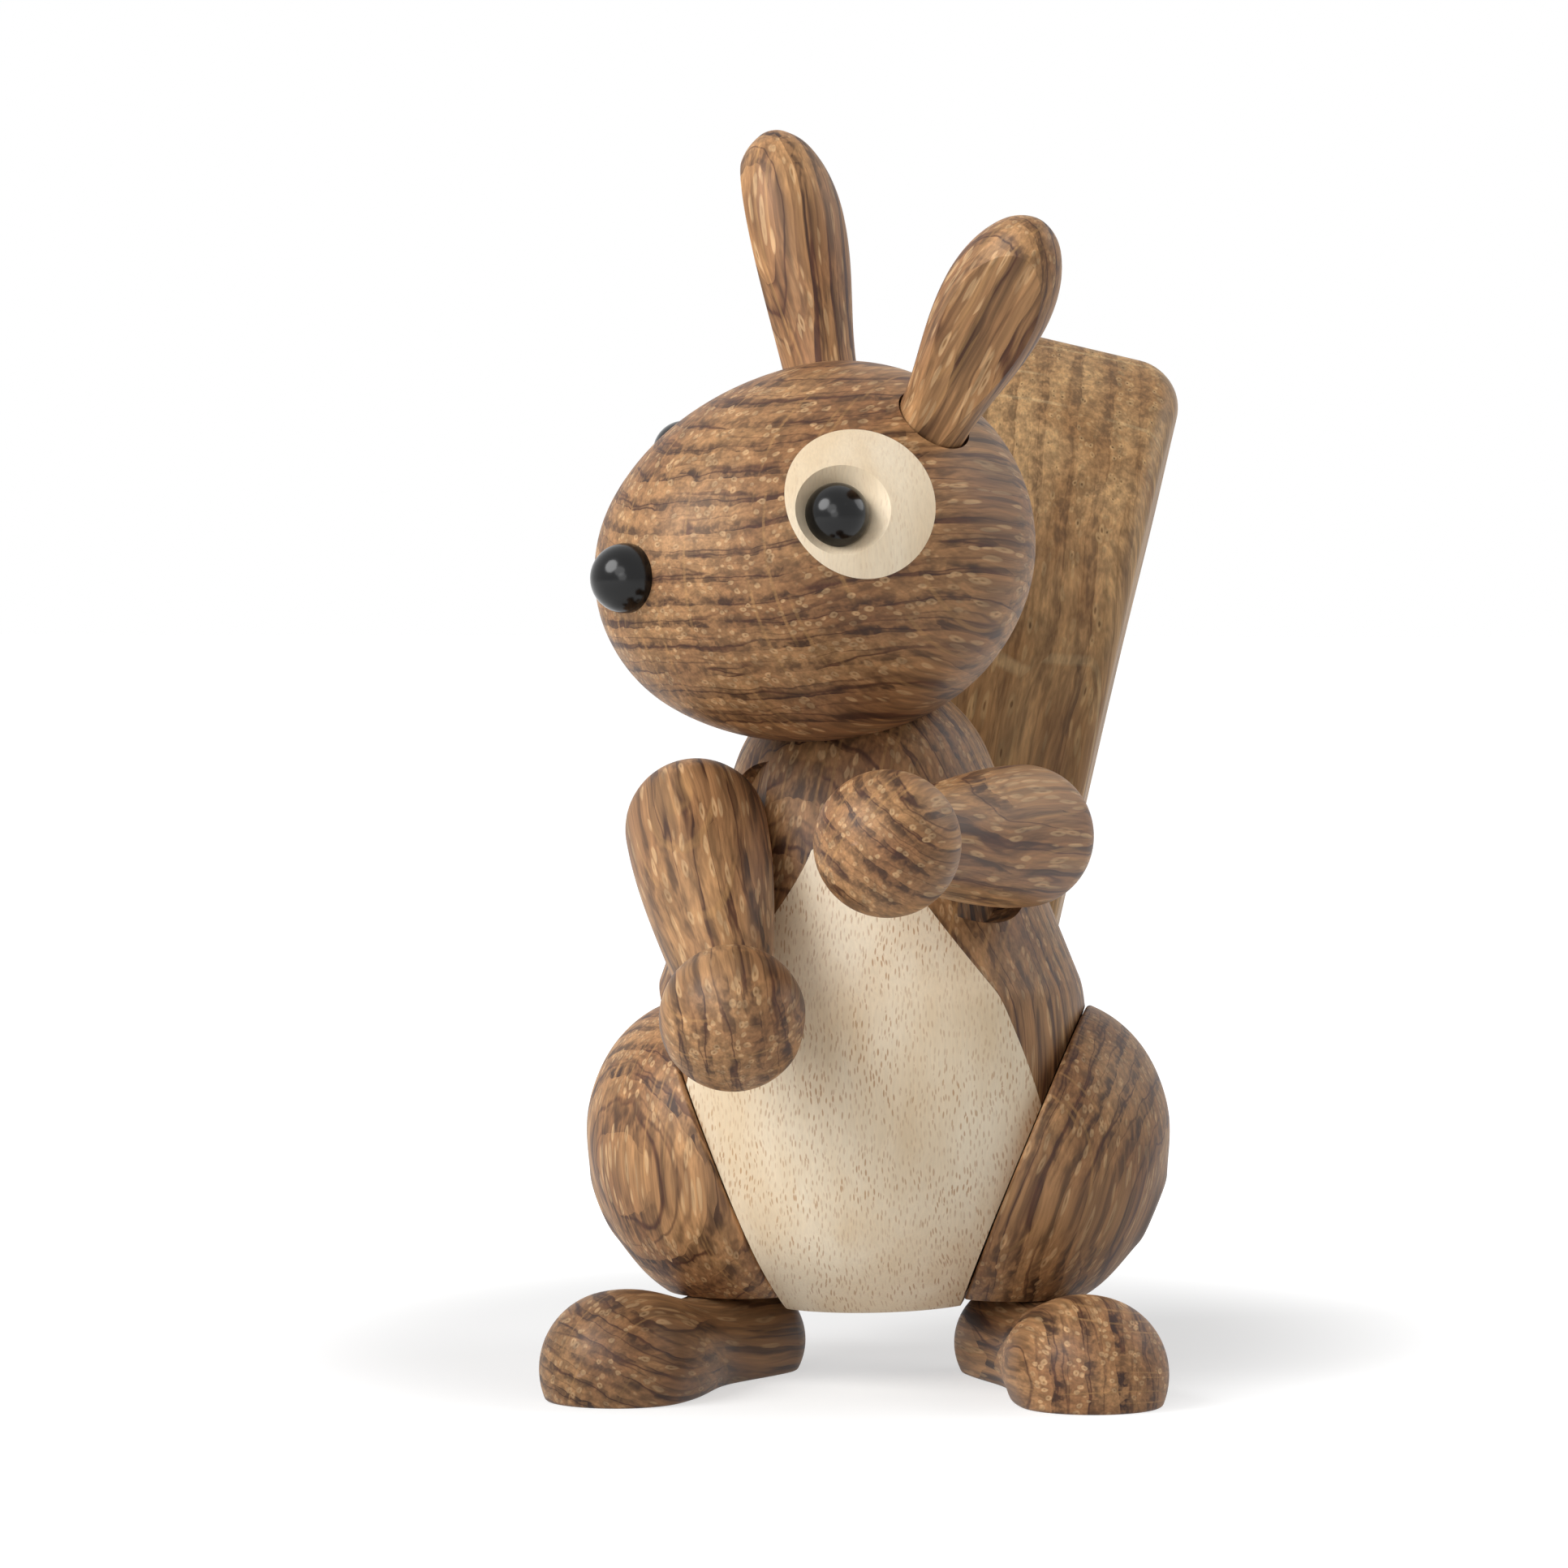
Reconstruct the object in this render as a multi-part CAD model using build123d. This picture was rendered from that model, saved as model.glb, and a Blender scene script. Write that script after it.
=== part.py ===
from build123d import *
import os
from math import acos, atan2, cos, degrees, radians, sin, sqrt

# A jointed wooden squirrel. Millimetres, +Z up, the body faces -Y, and the
# figure's own left is +X. The pose is the photographed one: head turned to
# the figure's right, left arm level, right arm lowered, tail swung to the left.

# Torso, a turned pear with a domed top
torso_sole_height = 7.0
torso_sole_radius = 7.0
belly_radius = 21.2
belly_height = 28.0
flank_radius = 20.5
flank_height = 38.4
hip_line_radius = 20.95
hip_line_height = 36.0
dome_radius = 13.1
dome_height = 55.6
underside_shares = ((0.56, 0.05), (0.79, 0.25), (0.95, 0.62))
body_lean = 1.4

# Pale belly piece, glued to a curved seat
seat_top_depth = 14.85
seat_top_height = 52.0
seat_waist_depth = 15.8
seat_waist_height = 40.0
seat_hip_depth = 12.2
seat_hip_height = 27.0
seat_bottom_depth = 2.0

# Head, an egg on the neck dowel
head_radius = 17.95
head_front_length = 25.4
head_back_length = 19.3
head_rise = 26.6
head_forward = 4.5
head_turn = 51.0
neck_tilt = 18.4
neck_gap = 0.3

# Eyes and nose
eye_forward = 3.4
eye_rise = 10.05
eye_ring_radius = 7.35
eye_ring_depth = 5.4
eye_bead_radius = 3.05
eye_bead_sink = 1.5
eye_bead_forward = 2.45
eye_bead_drop = 0.4
eye_dish_radius = 5.1
eye_dish_depth = 1.7
nose_rise = 3.3
nose_side = 1.2
nose_bead_radius = 3.3
nose_bead_proud = 0.1

# Ears, turned teardrops with one sanded flat
ear_side = 9.55
ear_back = 8.45
ear_length = 24.4
ear_radius = 5.25
ear_widest_height = 14.5
ear_root_radius = 3.5
ear_seat_depth = 2.0
ear_tenon_radius = 2.4
ear_tenon_length = 5.0
ear_flat_depth = 2.0
ear_splay = 30.5
ear_lean = 9.4
ear_face_turn = 41.0
ear_seat_gap = 0.15

# Arms, turned clubs on slanted shoulder dowels
shoulder_side = 15.6
shoulder_front = 12.8
shoulder_drop = 2.1
shoulder_shift = 0.8
shoulder_tilt = 0.9
shoulder_sweep_angle = 20.8
shoulder_lift_angle = 10.5
shoulder_ball_radius = 6.8
wrist_radius = 4.5
wrist_taper_share = -0.1
hand_radius = 6.8
arm_length = 30.0
arm_flat_offset = 6.0
shoulder_seat_radius = 7.8
left_arm_angle = -1.0
right_arm_angle = 33.0
shoulder_gap = 0.15

# Haunches, half eggs on sloping hip flats
hip_side = 14.2
hip_height = 21.6
hip_slope = 22.2
haunch_radius = 15.9
haunch_depth = 13.7
haunch_rim_round = 0.4
haunch_sole_height = 8.2
hip_gap = 0.15

# Feet, turned peanuts sawn flat underneath
ankle_side = 13.3
ankle_back = 2.4
foot_axis_height = 3.0
heel_radius = 6.0
instep_radius = 5.2
toe_radius = 7.4
foot_length = 25.8
left_foot_splay = 19.3
right_foot_splay = 22.3
sole_edge_fillet = 0.5
ankle_gap = 0.15

# Tail, a slab sawn to a curve, on one dowel in the back
tail_top_width = 20.8
tail_foot_width = 24.0
tail_pin_height = 22.0
tail_seat_depth = 20.3
tail_swing = 14.7
tail_foot_drop = 8.0
tail_length = 80.7
tail_thickness = 12.0
tail_reach_share = 0.31
tail_corner_radius = 5.0
tail_edge_fillet = 2.6
tail_bend_share = 0.24
tail_front_shares = ((0.06, 0.49), (0.19, 0.69), (0.43, 0.84))
tail_back_shares = ((0.02, 0.24), (0.14, 0.49), (0.32, 0.66), (0.60, 0.80))
tail_rear_shares = (0.42, 0.47)
tail_toe_shares = (0.9, 0.6)
tail_heel_share = 0.86
crest_slope_share = 0.5
tail_gap = 0.15

# Dowels and their rubber friction rings
neck_dowel_radius = 3.0
neck_dowel_length = 21.0
neck_dowel_start = 2.5
shoulder_dowel_radius = 2.0
shoulder_dowel_length = 17.0
shoulder_dowel_in_arm = 10.0
hip_dowel_radius = 2.5
hip_dowel_length = 17.0
hip_dowel_in_haunch = 9.0
ankle_dowel_radius = 1.8
ankle_dowel_length = 11.0
ankle_dowel_in_foot = 5.0
tail_dowel_radius = 2.6
tail_dowel_length = 16.0
tail_dowel_in_tail = 8.0
running_clearance = 0.05
ring_slack = 0.03
ring_section_share = 0.22
groove_width_share = 1.2
ring_place_share = 0.5
bore_end_room = 0.4

# Overruns for cutting tools, points of a quarter oval, half a right angle in degrees
cut_reach = 60.0
cut_over = 1.0
oval_steps = 6
half_corner_angle = 45.0


def turned(edges):
    """A solid turned about +Z, from a half outline of (radius, height) edges."""
    return revolve(Plane.XZ * make_face(edges), Axis.Z)


def oval(radius, length, base):
    """A quarter oval from (radius, base) to the axis, length above it, or below if negative."""
    angles = [radians(90 * step / oval_steps) for step in range(oval_steps + 1)]
    points = [(radius * cos(angle), base + length * sin(angle)) for angle in angles]
    return Spline(points, tangents=[(0, length), (-radius, 0)])


def rod(radius, low, high):
    """A round rod on the local +Z axis from low to high."""
    return Pos(0, 0, low) * Cylinder(radius, high - low, align=(Align.CENTER, Align.CENTER, Align.MIN))


def half_space(place):
    """A large block that fills everything above the local XY plane of a place."""
    return place * Box(2 * cut_reach, 2 * cut_reach, cut_reach, align=(Align.CENTER, Align.CENTER, Align.MIN))


def to_right(shape):
    """The mirror image of a left-hand piece."""
    return mirror(shape, Plane.YZ)


def right_place(place):
    """The mirror image of a left-hand joint's position and axis."""
    point = place.position
    axis = Plane(place).z_dir
    return Location(Plane(Vector(-point.X, point.Y, point.Z), z_dir=Vector(-axis.X, axis.Y, axis.Z)))


# Places of the joints. Each place's local +Z is the dowel's axis. Those of the
# head and tail are in the torso's own frame, which leans a little, and those of
# the arms in a frame whose origin is midway between the shoulders.
lean = Rot(0, -body_lean, 0)
yoke = Pos(-shoulder_shift, 0, dome_height - shoulder_drop) * Rot(0, shoulder_tilt, 0)
neck_place = Pos(0, 0, dome_height) * Rot(neck_tilt, 0, 0)
head_place = neck_place * Rot(0, 0, -head_turn) * Pos(0, -head_forward, head_rise)
hip_axis = Vector(cos(radians(hip_slope)), 0, -sin(radians(hip_slope)))
hip_up = Vector(sin(radians(hip_slope)), 0, cos(radians(hip_slope)))
hip_place = Location(Plane(Vector(hip_side, 0, hip_height), x_dir=hip_up, z_dir=hip_axis))
shoulder_axis = Vector(cos(radians(shoulder_sweep_angle)) * cos(radians(shoulder_lift_angle)),
                       -sin(radians(shoulder_sweep_angle)) * cos(radians(shoulder_lift_angle)),
                       sin(radians(shoulder_lift_angle)))
arm_ahead = Vector(-sin(radians(shoulder_sweep_angle)), -cos(radians(shoulder_sweep_angle)), 0)
shoulder_centre = Vector(shoulder_side, -shoulder_front, 0)
shoulder_place = Location(Plane(shoulder_centre, x_dir=arm_ahead, z_dir=shoulder_axis))
ankle_place = Pos(ankle_side, ankle_back, 0)
tail_place = Pos(0, 0, tail_pin_height) * Rot(0, tail_swing, 0)
tail_pin_place = Pos(0, tail_seat_depth, tail_pin_height) * Rot(-90, 0, 0)


class Pin:
    """A dowel on a place's +Z axis, glued below and turning above, with its friction ring."""

    def __init__(self, place, radius, start, length, seat):
        self.place = place
        self.radius = radius
        self.start = start
        self.end = start + length
        self.bore_radius = radius + running_clearance
        self.section = radius * ring_section_share
        self.ring_height = seat + (self.end - seat) * ring_place_share
        self.core_radius = self.bore_radius - ring_slack - 2 * self.section

    def dowel(self):
        """The beech dowel with the groove for its ring."""
        half = self.section * groove_width_share
        groove = (rod(self.radius + cut_over, self.ring_height - half, self.ring_height + half)
                  - rod(self.core_radius, self.ring_height - half, self.ring_height + half))
        body = rod(self.radius, self.start, self.end) - groove
        return self.place * body

    def ring(self):
        """The rubber ring that lies in the groove and drags on the bore."""
        return self.place * Pos(0, 0, self.ring_height) * Torus(self.core_radius + self.section, self.section)

    def glued_hole(self):
        """The tight hole for the end that does not turn."""
        return self.place * rod(self.radius, self.start, self.end)

    def running_hole(self):
        """The bore for the end that turns, a little longer than the dowel."""
        return self.place * rod(self.bore_radius, self.start, self.end + bore_end_room)


def torso_blank():
    """The turned pear: flat sole, round belly, straight flanks and a domed top."""
    reach = sqrt(flank_radius ** 2 + (dome_height - flank_height) ** 2)
    tangent = acos(dome_radius / reach) + atan2(flank_height - dome_height, flank_radius)
    middle = (tangent + radians(90)) / 2
    blend = (dome_radius * cos(tangent), dome_height + dome_radius * sin(tangent))
    crown = (dome_radius * cos(middle), dome_height + dome_radius * sin(middle))
    top = (0, dome_height + dome_radius)
    flank = (flank_radius, flank_height)
    slope = (flank_radius - blend[0], flank_height - blend[1])
    rise = belly_height - torso_sole_height
    spread = belly_radius
    low = [(spread * wide, torso_sole_height + rise * high) for wide, high in underside_shares]
    high = [flank, (hip_line_radius, hip_line_height), (belly_radius, belly_height)]
    curve = Spline(high + low[::-1] + [(torso_sole_radius, torso_sole_height)], tangents=[slope, (-1, 0)])
    edges = [Line((0, torso_sole_height), (torso_sole_radius, torso_sole_height)), curve,
             Line(flank, blend), ThreePointArc(blend, crown, top), Line(top, (0, torso_sole_height))]
    return Rot(0, 0, 90) * turned(edges)


def belly_region():
    """The space in front of the curved seat of the belly piece."""
    top = (-seat_top_depth, seat_top_height)
    waist = (-seat_waist_depth, seat_waist_height)
    hip = (-seat_hip_depth, seat_hip_height)
    bottom = (-seat_bottom_depth, torso_sole_height - cut_over)
    front = -cut_reach
    frame = Polyline(bottom, (front, bottom[1]), (front, dome_height), (top[0], dome_height), top)
    outline = [Spline(top, waist, hip, bottom), frame]
    return extrude(Plane.YZ * make_face(outline), cut_reach, both=True)


def shoulder_seat():
    """The round flat that is sunk in the torso for one shoulder."""
    floor = -arm_flat_offset - shoulder_gap
    return shoulder_place * rod(shoulder_seat_radius, floor, cut_reach)


def egg():
    """The head's egg in the head's own frame, nose towards local -Y."""
    widest = (head_front_length - head_back_length) / 2
    outline = [oval(head_radius, head_front_length, 0), oval(head_radius, -head_back_length, 0),
               Line((0, head_front_length), (0, -head_back_length))]
    return Pos(0, widest, 0) * Rot(90, 0, 0) * turned(outline)


def egg_point(forward, rise):
    """A point of the egg's left half at a distance ahead of its middle, and its normal."""
    widest = (head_front_length - head_back_length) / 2
    along = forward + widest
    length = head_front_length if along > 0 else head_back_length
    station = head_radius * sqrt(1 - (along / length) ** 2)
    side = sqrt(station ** 2 - rise ** 2)
    normal = Vector(side / head_radius ** 2, -along / length ** 2, rise / head_radius ** 2).normalized()
    return Vector(side, -forward, rise), normal


def eye_place():
    """The left eye's place in the head's frame: +Z out, +X towards the nose, +Y down."""
    point, normal = egg_point(eye_forward, eye_rise)
    ahead = Vector(0, -1, 0)
    ahead = (ahead - normal * ahead.dot(normal)).normalized()
    return Location(Plane(point, x_dir=ahead, z_dir=normal))


def nose_place():
    """The middle of the nose bead in the head's frame, half sunk in the egg's skin."""
    widest = (head_front_length - head_back_length) / 2
    along = head_front_length * sqrt(1 - (nose_rise ** 2 + nose_side ** 2) / head_radius ** 2)
    normal = Vector(nose_side / head_radius ** 2, -along / head_front_length ** 2, nose_rise / head_radius ** 2)
    return Location(Vector(nose_side, widest - along, nose_rise) + normal.normalized() * nose_bead_proud)


def bead_place():
    """The middle of the left eye's bead in the head's frame."""
    return eye_place() * Pos(eye_bead_forward, eye_bead_drop, -eye_bead_sink)


def ear_place():
    """The left ear's root in the head's frame, local +X out of the sanded flat."""
    widest = (head_front_length - head_back_length) / 2
    station = head_radius * sqrt(1 - ((ear_back - widest) / head_back_length) ** 2)
    rise = sqrt(station ** 2 - ear_side ** 2)
    up = Vector(sin(radians(ear_splay)), sin(radians(ear_lean)), cos(radians(ear_splay))).normalized()
    out = Vector(1, 0, 0)
    out = (out - up * out.dot(up)).normalized()
    root = Plane(Vector(ear_side, ear_back, rise), x_dir=out, z_dir=up)
    return Location(root) * Rot(0, 0, -ear_face_turn)


def ear_blank():
    """The ear in its own frame: a teardrop with a flat and a tenon below."""
    root = (ear_root_radius, -ear_seat_depth)
    widest = (ear_radius, ear_widest_height)
    tip = (0, ear_length)
    outline = [Line((0, -ear_seat_depth), root), Spline(root, widest, tangents=[(0, 1), (0, 1)]),
               oval(ear_radius, ear_length - ear_widest_height, ear_widest_height),
               Line(tip, (0, -ear_seat_depth))]
    flat = half_space(Pos(ear_radius - ear_flat_depth, 0, 0) * Rot(0, 90, 0))
    tenon = rod(ear_tenon_radius, -ear_seat_depth - ear_tenon_length, 0)
    return (turned(outline) - flat) + tenon


def ear_socket():
    """The seat and tenon hole that the head gets for one ear."""
    seat = rod(ear_root_radius + 2 * ear_seat_gap, -ear_seat_depth, ear_widest_height / 2)
    hole = rod(ear_tenon_radius, -ear_seat_depth - ear_tenon_length, 0)
    return seat + hole


def eye_ring():
    """The left eye's maple plug, flush with the egg, dished for the bead."""
    plug = eye_place() * rod(eye_ring_radius, -eye_ring_depth, cut_reach)
    bead = bead_place() * Sphere(eye_bead_radius)
    bore = bead_place() * rod(eye_bead_radius, 0, cut_reach)
    dish_low = eye_bead_sink - eye_dish_depth
    flare = (eye_dish_radius - eye_bead_radius) / eye_dish_depth
    dish_top = dish_low + eye_dish_depth + cut_over
    dish = Pos(0, 0, dish_low) * Cone(eye_bead_radius, eye_bead_radius + flare * (dish_top - dish_low),
                                      dish_top - dish_low, align=(Align.CENTER, Align.CENTER, Align.MIN))
    return (plug & egg()) - bead - bore - bead_place() * dish


def head_blank(pin):
    """The head in the figure's frame with its sockets for eyes, ears, nose and neck."""
    pocket = eye_place() * rod(eye_ring_radius, -eye_ring_depth, cut_reach)
    ear = ear_place() * ear_socket()
    nose = nose_place() * Sphere(nose_bead_radius)
    body = egg() - pocket - to_right(pocket) - ear - to_right(ear) - nose
    dished = head_place * body - neck_place * Sphere(dome_radius + neck_gap)
    return dished - pin.running_hole()


def arm(angle, pin):
    """The left arm at an angle below level: shoulder ball, taper, ball hand."""
    crease = sqrt(hand_radius ** 2 - wrist_radius ** 2)
    wrist = (wrist_radius, arm_length - crease)
    knuckle = (hand_radius, arm_length)
    tip = (0, arm_length + hand_radius)
    slant = radians(half_corner_angle)
    back_middle = (shoulder_ball_radius * cos(slant), -shoulder_ball_radius * sin(slant))
    outline = [ThreePointArc((0, -shoulder_ball_radius), back_middle, (shoulder_ball_radius, 0)),
               Spline((shoulder_ball_radius, 0), wrist, tangents=[(0, 1), (wrist_taper_share, 1)]),
               ThreePointArc(wrist, knuckle, tip),
               Line(tip, (0, -shoulder_ball_radius))]
    club = Rot(0, 90, 0) * turned(outline)
    flat = half_space(Pos(0, 0, -arm_flat_offset) * Rot(180, 0, 0))
    return shoulder_place * Rot(0, 0, angle) * (club - flat) - pin.running_hole()


def haunch(hip_pin, ankle_pin):
    """The left haunch: half an egg on the hip flat, sawn level for the foot."""
    inner = haunch_radius - haunch_rim_round
    height = hip_gap + haunch_rim_round
    slant = radians(half_corner_angle)
    corner = (inner + haunch_rim_round * cos(slant), height - haunch_rim_round * sin(slant))
    dome = turned([Line((0, hip_gap), (inner, hip_gap)),
                   ThreePointArc((inner, hip_gap), corner, (haunch_radius, height)),
                   oval(haunch_radius, haunch_depth - haunch_rim_round, height),
                   Line((0, hip_gap + haunch_depth), (0, hip_gap))])
    level = half_space(Pos(0, 0, haunch_sole_height) * Rot(180, 0, 0))
    return hip_place * dome - level - hip_pin.running_hole() - ankle_pin.glued_hole()


def foot(splay, pin):
    """The left foot: a turned peanut, flat underneath and flat under the haunch."""
    waist = foot_length * heel_radius / (heel_radius + toe_radius)
    slant = radians(half_corner_angle)
    heel_back = (heel_radius * cos(slant), -heel_radius * sin(slant))
    toe_front = (toe_radius * cos(slant), foot_length + toe_radius * sin(slant))
    outline = [ThreePointArc((0, -heel_radius), heel_back, (heel_radius, 0)),
               Spline((heel_radius, 0), (instep_radius, waist), (toe_radius, foot_length),
                      tangents=[(0, 1), (0, 1)]),
               ThreePointArc((toe_radius, foot_length), toe_front, (0, foot_length + toe_radius)),
               Line((0, foot_length + toe_radius), (0, -heel_radius))]
    peanut = Pos(0, 0, foot_axis_height) * Rot(90, 0, 0) * turned(outline)
    below = half_space(Rot(180, 0, 0))
    cap_height = haunch_sole_height - ankle_gap
    cap = Pos(0, 0, cap_height) * Box(2 * heel_radius, foot_length, cut_reach,
                                      align=(Align.CENTER, Align.CENTER, Align.MIN))
    shaped = peanut - below - cap
    sole = shaped.edges().group_by(Axis.Z)[0]
    shaped = fillet(sole, sole_edge_fillet)
    return ankle_place * Rot(0, 0, splay) * shaped - pin.running_hole()


def tail_outline():
    """The tail's side outline of (back, height) edges, from its foot to its crest."""
    front = tail_seat_depth + tail_gap
    back = front + tail_thickness
    bottom = -tail_foot_drop
    reach = tail_length * tail_reach_share
    front_points = [(front + reach * far, tail_length * high) for far, high in tail_front_shares]
    back_points = [(back + reach * far, tail_length * high) for far, high in tail_back_shares]
    crest = (front + reach, tail_length)
    rear = (front + reach + tail_thickness * tail_rear_shares[0],
            tail_length - tail_thickness * tail_rear_shares[1])
    bend = (front, tail_length * tail_bend_share)
    heel = (front + tail_thickness * tail_heel_share, bottom)
    toe = (front + tail_thickness * tail_toe_shares[0], bottom * tail_toe_shares[1])
    fall = (-crest_slope_share, -1)
    return [Line((front, bottom), bend),
            Spline([bend] + front_points + [crest], tangents=[(0, 1), (1, crest_slope_share)]),
            Spline([crest, rear], tangents=[(1, crest_slope_share), fall]),
            Spline([rear] + back_points[::-1] + [(back, 0)], tangents=[fall, (0, -1)]),
            ThreePointArc((back, 0), toe, heel), Line(heel, (front, bottom))]


def tail(pin):
    """The tail: a slab sawn to one swept curve, corners cut round, edges rounded over."""
    slab = extrude(Plane.YZ * make_face(tail_outline()), tail_foot_width, both=True)
    low = -tail_foot_drop - cut_over
    half_foot = tail_foot_width / 2
    half_top = tail_top_width / 2
    corners = [(-half_foot, low), (half_foot, low), (half_top, tail_length), (-half_top, tail_length)]
    card = Plane.XZ * make_face(Polyline(corners, close=True))
    card = fillet(card.vertices().group_by(Axis.Z)[-1], tail_corner_radius)
    depth = tail_seat_depth + tail_gap + tail_length * tail_reach_share + tail_thickness
    slab = slab & extrude(card, -depth)
    slab = fillet(slab.edges().filter_by(Axis.X, reverse=True), tail_edge_fillet)
    return tail_place * slab - pin.running_hole()


neck_pin = Pin(neck_place, neck_dowel_radius, neck_dowel_start, neck_dowel_length, dome_radius)
shoulder_pin = Pin(shoulder_place, shoulder_dowel_radius,
                   -arm_flat_offset + shoulder_dowel_in_arm - shoulder_dowel_length,
                   shoulder_dowel_length, -arm_flat_offset)
hip_pin = Pin(hip_place, hip_dowel_radius, hip_dowel_in_haunch - hip_dowel_length, hip_dowel_length, hip_gap)
ankle_pin = Pin(ankle_place * Pos(0, 0, haunch_sole_height) * Rot(180, 0, 0), ankle_dowel_radius,
                ankle_dowel_in_foot - ankle_dowel_length, ankle_dowel_length, ankle_gap)
tail_pin = Pin(tail_pin_place, tail_dowel_radius, tail_dowel_in_tail - tail_dowel_length,
               tail_dowel_length, tail_gap)

# Torso and belly piece, cut from one turned blank. The hip flats are cut upright.
hip_cut = half_space(hip_place)
seat_cut = shoulder_seat()
back_cut = half_space(Pos(0, tail_seat_depth, tail_pin_height) * Rot(-90, 0, 0))
whole = lean * torso_blank()
for cut in (back_cut, neck_pin.glued_hole(), tail_pin.glued_hole()):
    whole = whole - lean * cut
for cut in (seat_cut, to_right(seat_cut), shoulder_pin.glued_hole(), to_right(shoulder_pin.glued_hole())):
    whole = whole - yoke * cut
for cut in (hip_cut, to_right(hip_cut), hip_pin.glued_hole(), to_right(hip_pin.glued_hole())):
    whole = whole - cut
front = lean * belly_region()

bead = bead_place() * Sphere(eye_bead_radius)
ring = eye_ring()
ear = ear_place() * ear_blank()

nodes = {
    "torso": whole - front,
    "belly_inlay": whole & front,
    "left_haunch": haunch(hip_pin, ankle_pin),
    "right_haunch": to_right(haunch(hip_pin, ankle_pin)),
    "left_foot": foot(left_foot_splay, ankle_pin),
    "right_foot": to_right(foot(right_foot_splay, ankle_pin)),
}
head_pieces = {
    "nose_bead": nose_place() * Sphere(nose_bead_radius),
    "left_eye_ring": ring,
    "right_eye_ring": to_right(ring),
    "left_eye_bead": bead,
    "right_eye_bead": to_right(bead),
    "left_ear": ear,
    "right_ear": to_right(ear),
}
leaning_pieces = {
    "head": head_blank(neck_pin),
    "tail": tail(tail_pin),
    "neck_dowel": neck_pin.dowel(),
    "neck_friction_ring": neck_pin.ring(),
    "tail_dowel": tail_pin.dowel(),
    "tail_friction_ring": tail_pin.ring(),
}
yoke_pieces = {
    "left_arm": arm(left_arm_angle, shoulder_pin),
    "right_arm": to_right(arm(right_arm_angle, shoulder_pin)),
    "left_shoulder_dowel": shoulder_pin.dowel(),
    "right_shoulder_dowel": to_right(shoulder_pin.dowel()),
    "left_shoulder_friction_ring": shoulder_pin.ring(),
    "right_shoulder_friction_ring": to_right(shoulder_pin.ring()),
}
for name, shape in head_pieces.items():
    nodes[name] = lean * head_place * shape
for name, shape in leaning_pieces.items():
    nodes[name] = lean * shape
for name, shape in yoke_pieces.items():
    nodes[name] = yoke * shape
for name, pin in (("hip", hip_pin), ("ankle", ankle_pin)):
    nodes["left_" + name + "_dowel"] = pin.dowel()
    nodes["right_" + name + "_dowel"] = to_right(pin.dowel())
    nodes["left_" + name + "_friction_ring"] = pin.ring()
    nodes["right_" + name + "_friction_ring"] = to_right(pin.ring())

# The origin is moved to the floor under the middle of the whole figure
boxes = [shape.bounding_box() for shape in nodes.values()]
middle_x = (min(box.min.X for box in boxes) + max(box.max.X for box in boxes)) / 2
middle_y = (min(box.min.Y for box in boxes) + max(box.max.Y for box in boxes)) / 2
centred = Pos(-middle_x, -middle_y, 0)

os.makedirs("parts", exist_ok=True)
for name, shape in nodes.items():
    placed = centred * shape
    export_step(placed.solids()[0], os.path.join("parts", name + ".step"))


print("axis of the body at", round(-middle_x, 4), round(-middle_y, 4))
joint_places = {
    "neck": lean * neck_place,
    "left_shoulder": yoke * shoulder_place,
    "right_shoulder": yoke * right_place(shoulder_place),
    "left_hip": hip_place,
    "right_hip": right_place(hip_place),
    "left_ankle": ankle_place,
    "right_ankle": right_place(ankle_place),
    "tail": lean * tail_pin_place,
}
for name, place in joint_places.items():
    where = (centred * place).position
    axis = Plane(place).z_dir
    print(name, [round(v, 4) for v in where], [round(v, 6) for v in axis])
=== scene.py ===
"""A jointed wooden squirrel: finishes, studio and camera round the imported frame."""
import logging
import math
from dataclasses import dataclass, field
from enum import Enum

import bpy
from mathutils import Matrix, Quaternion, Vector

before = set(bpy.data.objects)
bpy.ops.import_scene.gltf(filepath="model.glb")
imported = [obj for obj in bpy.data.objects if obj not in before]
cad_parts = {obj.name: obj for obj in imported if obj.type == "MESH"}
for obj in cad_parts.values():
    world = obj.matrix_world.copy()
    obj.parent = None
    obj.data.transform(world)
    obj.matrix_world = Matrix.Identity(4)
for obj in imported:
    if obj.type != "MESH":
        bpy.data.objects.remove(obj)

LOG = logging.getLogger("squirrel")
MM = 0.001
FIGURE_MIDDLE_MM = 60
NOISE_MIDDLE = 0.5
# a Mix node's own places: for its factor and two colours going in, and for the mix going out
FACTOR, COLOUR_A, COLOUR_B, MIXED = 0, 6, 7, 2
Inputs = dict[int | str, object]
Pair = tuple[float, float]
Triple = tuple[float, float, float]
Tree = bpy.types.NodeTree
Socket = bpy.types.NodeSocket


class Side(Enum):
    """The figure's own two sides."""

    LEFT = "left"
    RIGHT = "right"


def linear(code: str) -> tuple[float, float, float, float]:
    """Turns an sRGB hex colour into linear RGBA.

    Args:
        code: six hex digits, with or without a leading #.

    Returns:
        The linear colour with alpha 1.
    """
    values = [int(code.lstrip("#")[i:i + 2], 16) / 255 for i in (0, 2, 4)]
    rgb = [v / 12.92 if v <= 0.04045 else ((v + 0.055) / 1.055) ** 2.4 for v in values]
    return rgb[0], rgb[1], rgb[2], 1.0


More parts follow.
